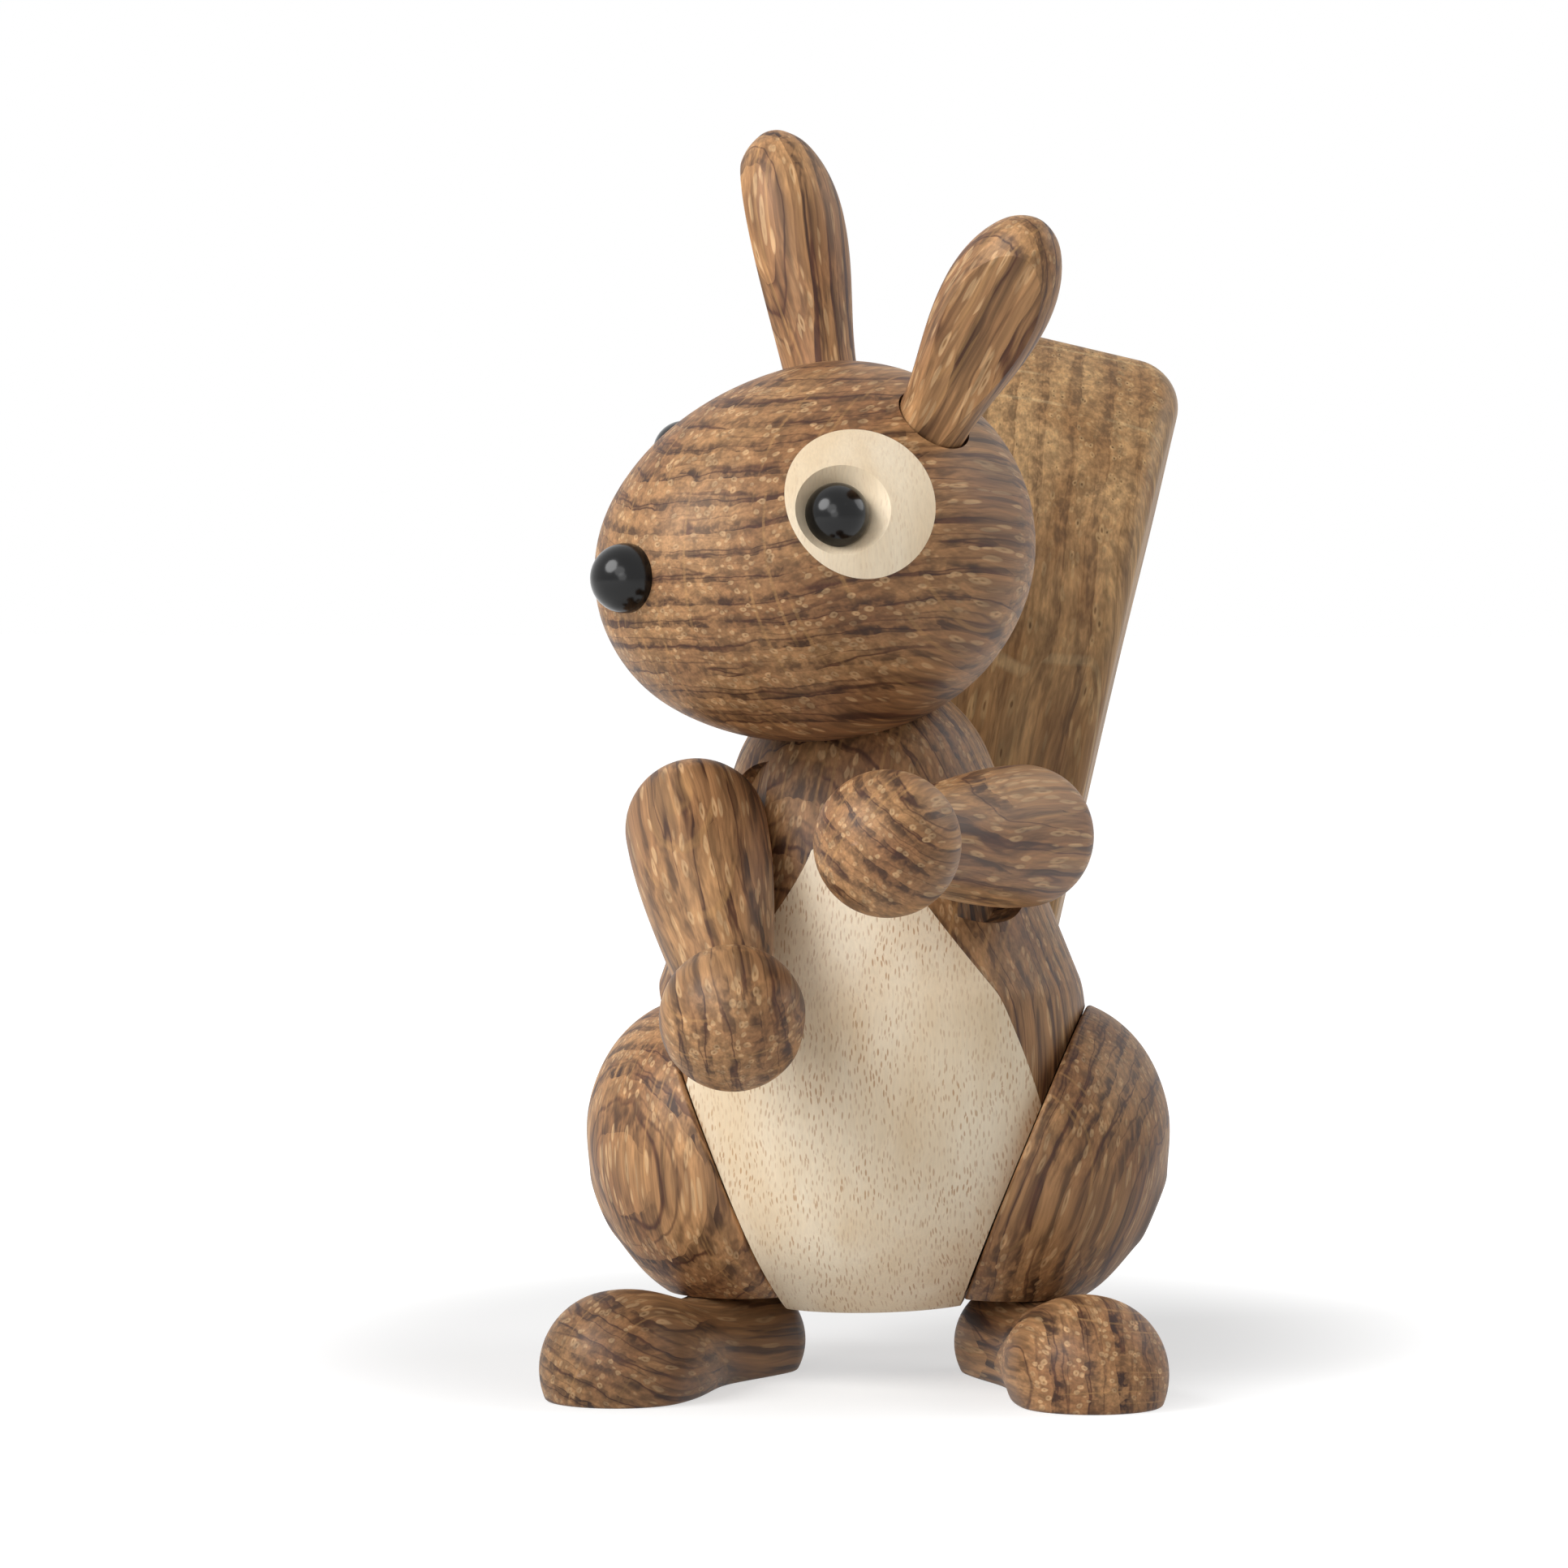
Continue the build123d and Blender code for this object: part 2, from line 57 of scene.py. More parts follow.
def add_node(tree: Tree, kind: str, inputs: Inputs | None = None, **settings: object) -> bpy.types.Node:
    """Adds one node with its settings, values and links.

    Args:
        tree: the node tree to add to.
        kind: the node's type name.
        inputs: socket name or number, to a value, a socket, or a node whose first output is taken.
        settings: attributes of the node.

    Returns:
        The new node.
    """
    node = tree.nodes.new(kind)
    for name, value in settings.items():
        setattr(node, name, value)
    for key, value in (inputs or {}).items():
        if isinstance(value, bpy.types.Node):
            value = value.outputs[0]
        if isinstance(value, Socket):
            tree.links.new(value, node.inputs[key])
        else:
            node.inputs[key].default_value = value
    return node


def new_material(name: str) -> bpy.types.Material:
    """Makes an empty node material.

    Args:
        name: the material's name.

    Returns:
        The material, with no nodes in it.
    """
    material = bpy.data.materials.new(name)
    material.use_nodes = True
    material.node_tree.nodes.clear()
    return material


def dress(node: str, material: bpy.types.Material) -> None:
    """Gives one CAD node its finish.

    Args:
        node: the node's name in the frame.
        material: the finish.
    """
    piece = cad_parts[node]
    piece.data.materials.clear()
    piece.data.materials.append(material)
    LOG.info("%s wears %s", node, material.name)


@dataclass(frozen=True)
class LogPlace:
    """Where a point of the wood lies in its log, as sockets: its wavered place and its
    distances from the pith, round the pith and along the log, in millimetres; then its
    distance from the pith in rings, the part of its ring passed, and the ring's number."""

    wood: Socket
    radius: Socket
    around: Socket
    height: Socket
    ring: Socket
    phase: Socket
    year: Socket


@dataclass(frozen=True)
class Grain:
    """How a piece was cut from its log: the log's direction and where its pith ran.
    The tone makes the piece lighter or darker than its fellows, the seed slides the
    pattern along the log, and the reach is the radius at which the distance round
    the pith is true."""

    along: Triple
    pith_mm: Triple
    ring_mm: float = 2.2
    tone: float = 1.0
    seed_mm: float = 0.0
    reach_mm: float = 70.0

    def coordinates(self, tree: Tree) -> bpy.types.Node:
        """Puts Object coordinates in the log's own frame, in millimetres, +Z along the log.

        Args:
            tree: the material's node tree.

        Returns:
            The Mapping node.
        """
        turn = Vector(self.along).normalized().rotation_difference(Vector((0, 0, 1)))
        shift = -(turn @ Vector(self.pith_mm)) + Vector((0, 0, self.seed_mm))
        place = add_node(tree, "ShaderNodeTexCoord")
        return add_node(tree, "ShaderNodeMapping", {
            "Vector": place.outputs["Object"], "Scale": (1 / MM,) * 3,
            "Rotation": turn.to_euler(), "Location": shift}, vector_type="POINT")


@dataclass(frozen=True)
class WoodSurface:
    """The feel of sanded, oiled wood: half matt, with a little relief of the fibres.
    Oil lies in the wood and not on it, so the gloss is under that of a bare IOR of 1.5."""

    relief_strength: float
    relief_mm: float
    roughness: float = 0.5
    ior: float = 1.5
    gloss: float = 0.34

    def cover(self, tree: Tree, colour: bpy.types.Node, relief: bpy.types.Node) -> None:
        """Joins colour and relief to the material's output.

        Args:
            tree: the material's node tree.
            colour: the node that gives the colour.
            relief: the node that gives the height.
        """
        bump = add_node(tree, "ShaderNodeBump", {
            "Height": relief, "Strength": self.relief_strength, "Distance": self.relief_mm * MM})
        shader = add_node(tree, "ShaderNodeBsdfPrincipled", {
            "Base Color": colour, "Roughness": self.roughness, "IOR": self.ior,
            "Specular IOR Level": self.gloss, "Normal": bump})
        add_node(tree, "ShaderNodeOutputMaterial", {"Surface": shader})


@dataclass(frozen=True)
class Oak:
    """Oak, sanded and lightly oiled: rings about 2 mm wide, early pores that show as
    pale rings on end grain and pale streaks on long grain, patches of dark late wood,
    thin dark seams and thin tan rays."""

    name: str
    early: str
    middle: str
    late: str
    pore_rim: str
    pore_core: str
    ray: str
    seam: str
    # the rings wander by 5 mm over about 30 mm, and the fibres waver within them
    sway_mm: Triple = (5.0, 5.0, 0.0)
    sway_per_mm: float = 0.035
    waver_mm: Triple = (0.8, 0.8, 0.0)
    waver_per_mm: Triple = (0.5, 0.5, 0.12)
    # bundles of fibre about 0.8 mm wide and 30 mm long; fibres drawn as strands 0.2 mm
    # wide, coarser than the real 0.02 mm, so that they show; and slow clouds
    bundle_per_mm: Triple = (1.3, 1.3, 0.032)
    bundle_roughness: float = 0.6
    bundle_range: Pair = (0.34, 0.66)
    bundle_shade: Pair = (1.24, 0.64)
    fibre_per_mm: Triple = (4.5, 4.5, 0.11)
    fibre_range: Pair = (0.3, 0.7)
    fibre_shade: Pair = (0.82, 1.16)
    cloud_per_mm: Triple = (0.16, 0.16, 0.05)
    cloud_range: Pair = (0.38, 0.62)
    # early pores: drawn at 0.62 mm with the pale cells round them, coarser than the
    # bare pore of 0.3 mm, so that they show; over a third of them are missing
    pore_mm: float = 0.62
    pore_length_mm: float = 4.6
    pore_disorder: float = 0.8
    pore_phase: Pair = (0.6, 0.4)
    pore_missing: float = 0.37
    pore_edge: Pair = (0.47, 0.36)
    pore_core_edge: Pair = (0.2, 0.1)
    pore_strength: float = 0.75
    # rays: sheets a third of a millimetre thick, in cells round, from and along the pith
    ray_cell_mm: Triple = (1.5, 22.0, 16.0)
    ray_half_mm: float = 0.15
    ray_reach: Pair = (0.38, 0.3)
    ray_strength: float = 0.42
    # late wood: broken by the bundles and into blocks 1.7 mm wide, a ring deep, 28 mm tall
    late_phase: Pair = (0.42, 0.8)
    late_by_year: Pair = (0.55, 1.0)
    late_strength: float = 1.0
    patch_range: Pair = (0.4, 0.56)
    patch_least: float = 0.5
    block_per_mm: Triple = (1 / 1.7, 1.0, 1 / 28.0)
    block_shift: Triple = (0.0, -0.2, 0.0)
    block_disorder: float = 0.55
    block_range: Pair = (0.25, 0.6)
    block_least: float = 0.4
    # seams: dark lines about 0.3 mm wide along rings and grain, stronger late in the year
    seam_per_mm: Triple = (0.9, 0.07, 0.03)
    seam_edge: Pair = (0.04, 0.01)
    seam_phase: Pair = (0.2, 0.7)
    seam_least: float = 0.2
    seam_strength: float = 0.85
    surface: WoodSurface = WoodSurface(relief_strength=0.35, relief_mm=0.04)

    def locate(self, tree: Tree, grain: Grain) -> LogPlace:
        """Finds each point's place in the log.

        Args:
            tree: the material's node tree.
            grain: how the piece was cut.

        Returns:
            The sockets that tell it.
        """
        log = grain.coordinates(tree)
        sway = add_node(tree, "ShaderNodeTexNoise", {"Vector": log, "Scale": self.sway_per_mm, "Detail": 1.0})
        swayed = add_node(tree, "ShaderNodeVectorMath", {
            0: sway.outputs["Color"], 1: self.sway_mm, 2: log}, operation="MULTIPLY_ADD")
        waver_at = add_node(tree, "ShaderNodeVectorMath", {0: log, 1: self.waver_per_mm}, operation="MULTIPLY")
        waver = add_node(tree, "ShaderNodeTexNoise", {"Vector": waver_at, "Scale": 1.0, "Detail": 2.0})
        wood = add_node(tree, "ShaderNodeVectorMath", {
            0: waver.outputs["Color"], 1: self.waver_mm, 2: swayed}, operation="MULTIPLY_ADD")
        across = add_node(tree, "ShaderNodeVectorMath", {0: wood, 1: (1, 1, 0)}, operation="MULTIPLY")
        radius = add_node(tree, "ShaderNodeVectorMath", {0: across}, operation="LENGTH").outputs["Value"]
        ring = add_node(tree, "ShaderNodeMath", {0: radius, 1: grain.ring_mm}, operation="DIVIDE")
        phase = add_node(tree, "ShaderNodeMath", {0: ring}, operation="FRACT")
        year = add_node(tree, "ShaderNodeMath", {0: ring}, operation="FLOOR")
        split = add_node(tree, "ShaderNodeSeparateXYZ", {0: swayed})
        angle = add_node(tree, "ShaderNodeMath", {
            0: split.outputs["Y"], 1: split.outputs["X"]}, operation="ARCTAN2")
        around = add_node(tree, "ShaderNodeMath", {0: angle, 1: grain.reach_mm}, operation="MULTIPLY")
        return LogPlace(wood.outputs[0], radius, around.outputs[0], split.outputs["Z"],
                        ring.outputs[0], phase.outputs[0], year.outputs[0])

    def rays(self, tree: Tree, place: LogPlace) -> bpy.types.Node:
        """Draws the rays: thin sheets that point at the pith.

        Args:
            tree: the material's node tree.
            place: where the point lies in the log.

        Returns:
            The node that says how much of the ray's colour shows.
        """
        ray_at = add_node(tree, "ShaderNodeCombineXYZ", {"X": place.around, "Y": place.radius, "Z": place.height})
        cells_at = add_node(tree, "ShaderNodeVectorMath", {0: ray_at, 1: self.ray_cell_mm}, operation="DIVIDE")
        cells = add_node(tree, "ShaderNodeTexVoronoi", {"Vector": cells_at, "Scale": 1.0, "Randomness": 1.0})
        offset = add_node(tree, "ShaderNodeVectorMath", {
            0: cells_at, 1: cells.outputs["Position"]}, operation="SUBTRACT")
        thin = add_node(tree, "ShaderNodeVectorMath", {0: offset, 1: (1, 0, 0)}, operation="MULTIPLY")
        thin_by = add_node(tree, "ShaderNodeVectorMath", {0: thin}, operation="LENGTH").outputs["Value"]
        wide = add_node(tree, "ShaderNodeVectorMath", {0: offset, 1: (0, 1, 1)}, operation="MULTIPLY")
        wide_by = add_node(tree, "ShaderNodeVectorMath", {0: wide}, operation="LENGTH").outputs["Value"]
        half = self.ray_half_mm / self.ray_cell_mm[0]
        is_thin = add_node(tree, "ShaderNodeMapRange", {
            "Value": thin_by, "From Min": half, "From Max": half / 2})
        is_wide = add_node(tree, "ShaderNodeMapRange", {
            "Value": wide_by, "From Min": self.ray_reach[0], "From Max": self.ray_reach[1]})
        mask = add_node(tree, "ShaderNodeMath", {0: is_thin, 1: is_wide}, operation="MULTIPLY")
        return add_node(tree, "ShaderNodeMath", {0: mask, 1: self.ray_strength}, operation="MULTIPLY")

    def late_wood(self, tree: Tree, place: LogPlace, bundle: Socket) -> bpy.types.Node:
        """Draws the dark late wood just before the next ring's pores.

        Args:
            tree: the material's node tree.
            place: where the point lies in the log.
            bundle: the noise of the fibre bundles.

        Returns:
            The node that says how much of the late wood's colour shows.
        """
        late = add_node(tree, "ShaderNodeMapRange", {
            "Value": place.phase, "From Min": self.late_phase[0], "From Max": self.late_phase[1]},
            interpolation_type="SMOOTHSTEP")
        chance = add_node(tree, "ShaderNodeTexWhiteNoise", {"W": place.year}, noise_dimensions="1D")
        vigour = add_node(tree, "ShaderNodeMapRange", {
            "Value": chance, "To Min": self.late_by_year[0], "To Max": self.late_by_year[1]})
        patchy = add_node(tree, "ShaderNodeMapRange", {
            "Value": bundle, "From Min": self.patch_range[0], "From Max": self.patch_range[1],
            "To Min": self.patch_least, "To Max": 1.0})
        block_at = add_node(tree, "ShaderNodeCombineXYZ", {"X": place.around, "Y": place.ring, "Z": place.height})
        cells_at = add_node(tree, "ShaderNodeVectorMath", {
            0: block_at, 1: self.block_per_mm, 2: self.block_shift}, operation="MULTIPLY_ADD")
        block = add_node(tree, "ShaderNodeTexVoronoi", {
            "Vector": cells_at, "Scale": 1.0, "Randomness": self.block_disorder})
        block_dark = add_node(tree, "ShaderNodeMapRange", {
            "Value": block.outputs["Color"], "From Min": self.block_range[0], "From Max": self.block_range[1],
            "To Min": self.block_least, "To Max": 1.0})
        by_year = add_node(tree, "ShaderNodeMath", {0: late, 1: vigour}, operation="MULTIPLY")
        by_block = add_node(tree, "ShaderNodeMath", {0: by_year, 1: block_dark}, operation="MULTIPLY")
        mask = add_node(tree, "ShaderNodeMath", {0: by_block, 1: patchy}, operation="MULTIPLY")
        return add_node(tree, "ShaderNodeMath", {0: mask, 1: self.late_strength}, operation="MULTIPLY")

    def seams(self, tree: Tree, place: LogPlace) -> bpy.types.Node:
        """Draws thin dark lines along the rings and the grain.

        Args:
            tree: the material's node tree.
            place: where the point lies in the log.

        Returns:
            The node that says how much of the seam's colour shows.
        """
        seam_at = add_node(tree, "ShaderNodeCombineXYZ", {"X": place.radius, "Y": place.around, "Z": place.height})
        noise_at = add_node(tree, "ShaderNodeVectorMath", {0: seam_at, 1: self.seam_per_mm}, operation="MULTIPLY")
        noise = add_node(tree, "ShaderNodeTexNoise", {"Vector": noise_at, "Scale": 1.0, "Detail": 1.0})
        off = add_node(tree, "ShaderNodeMath", {0: noise, 1: NOISE_MIDDLE}, operation="SUBTRACT")
        off_by = add_node(tree, "ShaderNodeMath", {0: off}, operation="ABSOLUTE")
        line = add_node(tree, "ShaderNodeMapRange", {
            "Value": off_by, "From Min": self.seam_edge[0], "From Max": self.seam_edge[1]})
        season = add_node(tree, "ShaderNodeMapRange", {
            "Value": place.phase, "From Min": self.seam_phase[0], "From Max": self.seam_phase[1],
            "To Min": self.seam_least, "To Max": 1.0})
        mask = add_node(tree, "ShaderNodeMath", {0: line, 1: season}, operation="MULTIPLY")
        return add_node(tree, "ShaderNodeMath", {0: mask, 1: self.seam_strength}, operation="MULTIPLY")

    def pores(self, tree: Tree, place: LogPlace, ring_mm: float) -> tuple[bpy.types.Node, bpy.types.Node]:
        """Draws the pores: long thin cells, each whole or missing by the ring that its middle lies in.

        Args:
            tree: the material's node tree.
            place: where the point lies in the log.
            ring_mm: the width of a ring.

        Returns:
            The nodes that mask the pores and their darker cores.
        """
        size = (self.pore_mm, self.pore_mm, self.pore_length_mm)
        cells_at = add_node(tree, "ShaderNodeVectorMath", {0: place.wood, 1: size}, operation="DIVIDE")
        cells = add_node(tree, "ShaderNodeTexVoronoi", {
            "Vector": cells_at, "Scale": 1.0, "Randomness": self.pore_disorder})
        middle_at = add_node(tree, "ShaderNodeVectorMath", {
            0: cells.outputs["Position"], 1: (self.pore_mm, self.pore_mm, 0)}, operation="MULTIPLY")
        middle_radius = add_node(tree, "ShaderNodeVectorMath", {0: middle_at}, operation="LENGTH").outputs["Value"]
        middle_ring = add_node(tree, "ShaderNodeMath", {0: middle_radius, 1: ring_mm}, operation="DIVIDE")
        middle_phase = add_node(tree, "ShaderNodeMath", {0: middle_ring}, operation="FRACT")
        in_early = add_node(tree, "ShaderNodeMapRange", {
            "Value": middle_phase, "From Min": self.pore_phase[0], "From Max": self.pore_phase[1]})
        lottery = add_node(tree, "ShaderNodeMath", {
            0: cells.outputs["Color"], 1: self.pore_missing}, operation="GREATER_THAN")
        body = add_node(tree, "ShaderNodeMapRange", {
            "Value": cells.outputs["Distance"], "From Min": self.pore_edge[0], "From Max": self.pore_edge[1]})
        present = add_node(tree, "ShaderNodeMath", {0: in_early, 1: lottery}, operation="MULTIPLY")
        mask = add_node(tree, "ShaderNodeMath", {0: present, 1: body}, operation="MULTIPLY")
        core = add_node(tree, "ShaderNodeMapRange", {
            "Value": cells.outputs["Distance"],
            "From Min": self.pore_core_edge[0], "From Max": self.pore_core_edge[1]})
        return mask, core

    def material(self, piece: str, grain: Grain) -> bpy.types.Material:
        """Builds the finish for one piece.

        Args:
            piece: the piece's name.
            grain: how it was cut.

        Returns:
            The material.
        """
        material = new_material(f"{self.name}_{piece}")
        tree = material.node_tree
        place = self.locate(tree, grain)
        bundle_at = add_node(tree, "ShaderNodeVectorMath", {
            0: place.wood, 1: self.bundle_per_mm}, operation="MULTIPLY")
        bundle = add_node(tree, "ShaderNodeTexNoise", {
            "Vector": bundle_at, "Scale": 1.0, "Detail": 2.0, "Roughness": self.bundle_roughness}).outputs[0]
        fibre_at = add_node(tree, "ShaderNodeVectorMath", {
            0: place.wood, 1: self.fibre_per_mm}, operation="MULTIPLY")
        fibre = add_node(tree, "ShaderNodeTexNoise", {"Vector": fibre_at, "Scale": 1.0, "Detail": 2.0})
        cloud_at = add_node(tree, "ShaderNodeVectorMath", {
            0: place.wood, 1: self.cloud_per_mm}, operation="MULTIPLY")
        cloud = add_node(tree, "ShaderNodeTexNoise", {"Vector": cloud_at, "Scale": 1.0, "Detail": 2.0})
        cloudy = add_node(tree, "ShaderNodeMapRange", {
            "Value": cloud, "From Min": self.cloud_range[0], "From Max": self.cloud_range[1]})
        # colours, laid over one another
        ground = add_node(tree, "ShaderNodeMix", {
            FACTOR: cloudy, COLOUR_A: linear(self.early), COLOUR_B: linear(self.middle)}, data_type="RGBA")
        layers = ((self.late_wood(tree, place, bundle), self.late),
                  (self.seams(tree, place), self.seam), (self.rays(tree, place), self.ray))
        for part, code in layers:
            ground = add_node(tree, "ShaderNodeMix", {
                FACTOR: part, COLOUR_A: ground.outputs[MIXED], COLOUR_B: linear(code)}, data_type="RGBA")
        pore, core = self.pores(tree, place, grain.ring_mm)
        pore_part = add_node(tree, "ShaderNodeMath", {0: pore, 1: self.pore_strength}, operation="MULTIPLY")
        pore_colour = add_node(tree, "ShaderNodeMix", {
            FACTOR: core, COLOUR_A: linear(self.pore_rim), COLOUR_B: linear(self.pore_core)}, data_type="RGBA")
        pored = add_node(tree, "ShaderNodeMix", {
            FACTOR: pore_part, COLOUR_A: ground.outputs[MIXED], COLOUR_B: pore_colour.outputs[MIXED]}, data_type="RGBA")
        bundle_shade = add_node(tree, "ShaderNodeMapRange", {
            "Value": bundle, "From Min": self.bundle_range[0], "From Max": self.bundle_range[1],
            "To Min": self.bundle_shade[0], "To Max": self.bundle_shade[1]})
        fibre_shade = add_node(tree, "ShaderNodeMapRange", {
            "Value": fibre, "From Min": self.fibre_range[0], "From Max": self.fibre_range[1],
            "To Min": self.fibre_shade[0] * grain.tone, "To Max": self.fibre_shade[1] * grain.tone})
        shade = add_node(tree, "ShaderNodeMath", {0: bundle_shade, 1: fibre_shade}, operation="MULTIPLY")
        colour = add_node(tree, "ShaderNodeVectorMath", {0: pored.outputs[MIXED], "Scale": shade}, operation="SCALE")
        relief = add_node(tree, "ShaderNodeMath", {0: fibre, 1: pore}, operation="SUBTRACT")
        self.surface.cover(tree, colour, relief)
        return material


@dataclass(frozen=True)
class Maple:
    """Maple, finely sanded: pale and close, with short brown ends of rays
    under a millimetre tall and 0.2 mm wide."""

    ground: str = "#F8E8CD"
    shaded: str = "#ECD5B3"
    tick: str = "#B5804C"
    waver_mm: Triple = (0.8, 0.8, 0.5)
    waver_per_mm: float = 0.3
    # one ray end to a cell of 0.42 by 1 mm, in patches that show it more or less
    tick_cell_mm: Triple = (0.42, 1.9, 1.0)
    tick_squeeze: Triple = (1.8, 0.5, 1.0)
    tick_edge: Pair = (0.42, 0.26)
    tick_range: Pair = (0.0, 0.5)
    patch_per_mm: float = 0.22
    patch_range: Pair = (0.38, 0.62)
    patch_least: float = 0.4
    cloud_per_mm: Triple = (0.16, 0.16, 0.05)
    cloud_range: Pair = (0.35, 0.65)
    fibre_per_mm: Triple = (5.0, 5.0, 0.5)
    fibre_range: Pair = (0.3, 0.7)
    fibre_shade: Pair = (0.95, 1.03)
    surface: WoodSurface = WoodSurface(relief_strength=0.2, relief_mm=0.03)

    def ticks(self, tree: Tree, wood: bpy.types.Node) -> bpy.types.Node:
        """Draws the ends of the rays as small upright spindles.

        Args:
            tree: the material's node tree.
            wood: the wavered place in the log.

        Returns:
            The node that masks them.
        """
        cells_at = add_node(tree, "ShaderNodeVectorMath", {0: wood, 1: self.tick_cell_mm}, operation="DIVIDE")
        cells = add_node(tree, "ShaderNodeTexVoronoi", {"Vector": cells_at, "Scale": 1.0, "Randomness": 1.0})
        offset = add_node(tree, "ShaderNodeVectorMath", {
            0: cells_at, 1: cells.outputs["Position"]}, operation="SUBTRACT")
        squeezed = add_node(tree, "ShaderNodeVectorMath", {0: offset, 1: self.tick_squeeze}, operation="MULTIPLY")
        away = add_node(tree, "ShaderNodeVectorMath", {0: squeezed}, operation="LENGTH").outputs["Value"]
        spindle = add_node(tree, "ShaderNodeMapRange", {
            "Value": away, "From Min": self.tick_edge[0], "From Max": self.tick_edge[1]})
        depth = add_node(tree, "ShaderNodeMapRange", {
            "Value": cells.outputs["Color"], "From Min": self.tick_range[0], "From Max": self.tick_range[1]})
        patch = add_node(tree, "ShaderNodeTexNoise", {"Vector": wood, "Scale": self.patch_per_mm, "Detail": 2.0})
        in_patch = add_node(tree, "ShaderNodeMapRange", {
            "Value": patch, "From Min": self.patch_range[0], "From Max": self.patch_range[1],
            "To Min": self.patch_least, "To Max": 1.0})
        drawn = add_node(tree, "ShaderNodeMath", {0: spindle, 1: depth}, operation="MULTIPLY")
        return add_node(tree, "ShaderNodeMath", {0: drawn, 1: in_patch}, operation="MULTIPLY")

    def material(self, piece: str, grain: Grain, tick_strength: float) -> bpy.types.Material:
        """Builds the finish for one piece.

        Args:
            piece: the piece's name.
            grain: how it was cut.
            tick_strength: how dark the ray ends are.

        Returns:
            The material.
        """
        material = new_material(f"maple_{piece}")
        tree = material.node_tree
        log = grain.coordinates(tree)
        waver = add_node(tree, "ShaderNodeTexNoise", {"Vector": log, "Scale": self.waver_per_mm, "Detail": 1.0})
        wood = add_node(tree, "ShaderNodeVectorMath", {
            0: waver.outputs["Color"], 1: self.waver_mm, 2: log}, operation="MULTIPLY_ADD")
        cloud_at = add_node(tree, "ShaderNodeVectorMath", {0: wood, 1: self.cloud_per_mm}, operation="MULTIPLY")
        cloud = add_node(tree, "ShaderNodeTexNoise", {"Vector": cloud_at, "Scale": 1.0, "Detail": 3.0})
        cloudy = add_node(tree, "ShaderNodeMapRange", {
            "Value": cloud, "From Min": self.cloud_range[0], "From Max": self.cloud_range[1]})
        ground = add_node(tree, "ShaderNodeMix", {
            FACTOR: cloudy, COLOUR_A: linear(self.ground), COLOUR_B: linear(self.shaded)}, data_type="RGBA")
        tick_part = add_node(tree, "ShaderNodeMath", {
            0: self.ticks(tree, wood), 1: tick_strength}, operation="MULTIPLY")
        ticked = add_node(tree, "ShaderNodeMix", {
            FACTOR: tick_part, COLOUR_A: ground.outputs[MIXED], COLOUR_B: linear(self.tick)}, data_type="RGBA")
        fibre_at = add_node(tree, "ShaderNodeVectorMath", {0: wood, 1: self.fibre_per_mm}, operation="MULTIPLY")
        fibre = add_node(tree, "ShaderNodeTexNoise", {"Vector": fibre_at, "Scale": 1.0, "Detail": 2.0})
        shade = add_node(tree, "ShaderNodeMapRange", {
            "Value": fibre, "From Min": self.fibre_range[0], "From Max": self.fibre_range[1],
            "To Min": self.fibre_shade[0] * grain.tone, "To Max": self.fibre_shade[1] * grain.tone})
        colour = add_node(tree, "ShaderNodeVectorMath", {0: ticked.outputs[MIXED], "Scale": shade}, operation="SCALE")
        self.surface.cover(tree, colour, fibre)
        return material


@dataclass(frozen=True)
class Plain:
    """A finish of one colour: polished resin bead, raw beech rod or rubber."""

    name: str
    colour: str
    roughness: float
    ior: float = 1.5

    def material(self) -> bpy.types.Material:
        """Builds the finish.

        Returns:
            The material.
        """
        material = new_material(self.name)
        tree = material.node_tree
        shader = add_node(tree, "ShaderNodeBsdfPrincipled", {
            "Base Color": linear(self.colour), "Roughness": self.roughness, "IOR": self.ior})
        add_node(tree, "ShaderNodeOutputMaterial", {"Surface": shader})
        return material


# oak darkened in ammonia smoke, turned, sanded and oiled: brown with pale pores
SMOKED_OAK = Oak("smoked_oak", early="#B2865B", middle="#966B47", late="#3A2117",
                 pore_rim="#CDA67A", pore_core="#98724B", ray="#BA8E5C", seam="#4A291B")
# untreated oak, sawn, sanded and oiled: tan, with softer rings
LIGHT_OAK = Oak("light_oak", early="#C29A6B", middle="#A0784E", late="#5C3D26",
                pore_rim="#BE9A6C", pore_core="#5C3F24", ray="#D2B588", seam="#6E4B29",
                late_strength=0.62, seam_strength=0.4, ray_strength=0.4,
                ray_cell_mm=(2.2, 22.0, 30.0), ray_half_mm=0.13)
# maple, turned and finely sanded: pale, so that the front and the eyes stand out
MAPLE = Maple()
# cast black resin, polished: near black with a small clear reflection; its IOR is under
# resin's 1.5, because a surround that is white all round would veil it with grey
BLACK_BEAD = Plain("black_resin", colour="#050506", roughness=0.17, ior=1.4)
# beech rod as sold: plain and pale, hidden in the joints
BEECH = Plain("beech_rod", colour="#D2AF83", roughness=0.6)
# black rubber ring, moulded and matt, hidden in the joints
RUBBER = Plain("rubber_ring", colour="#1C1B1B", roughness=0.7)


@dataclass
class Torso:
    """The turned pear and the pale piece let into its front."""

    back_grain: Grain = Grain((0.05, 0.0, 1.0), (25.0, 60.0, 0.0), tone=0.86)
    front_grain: Grain = Grain((0.0, 0.0, 1.0), (0.0, 60.0, 0.0), tone=0.98)
    front_ticks: float = 0.7

    def build(self) -> None:
        """Dresses both pieces."""
        dress("torso", SMOKED_OAK.material("torso", self.back_grain))
        dress("belly_inlay", MAPLE.material("belly_inlay", self.front_grain, self.front_ticks))


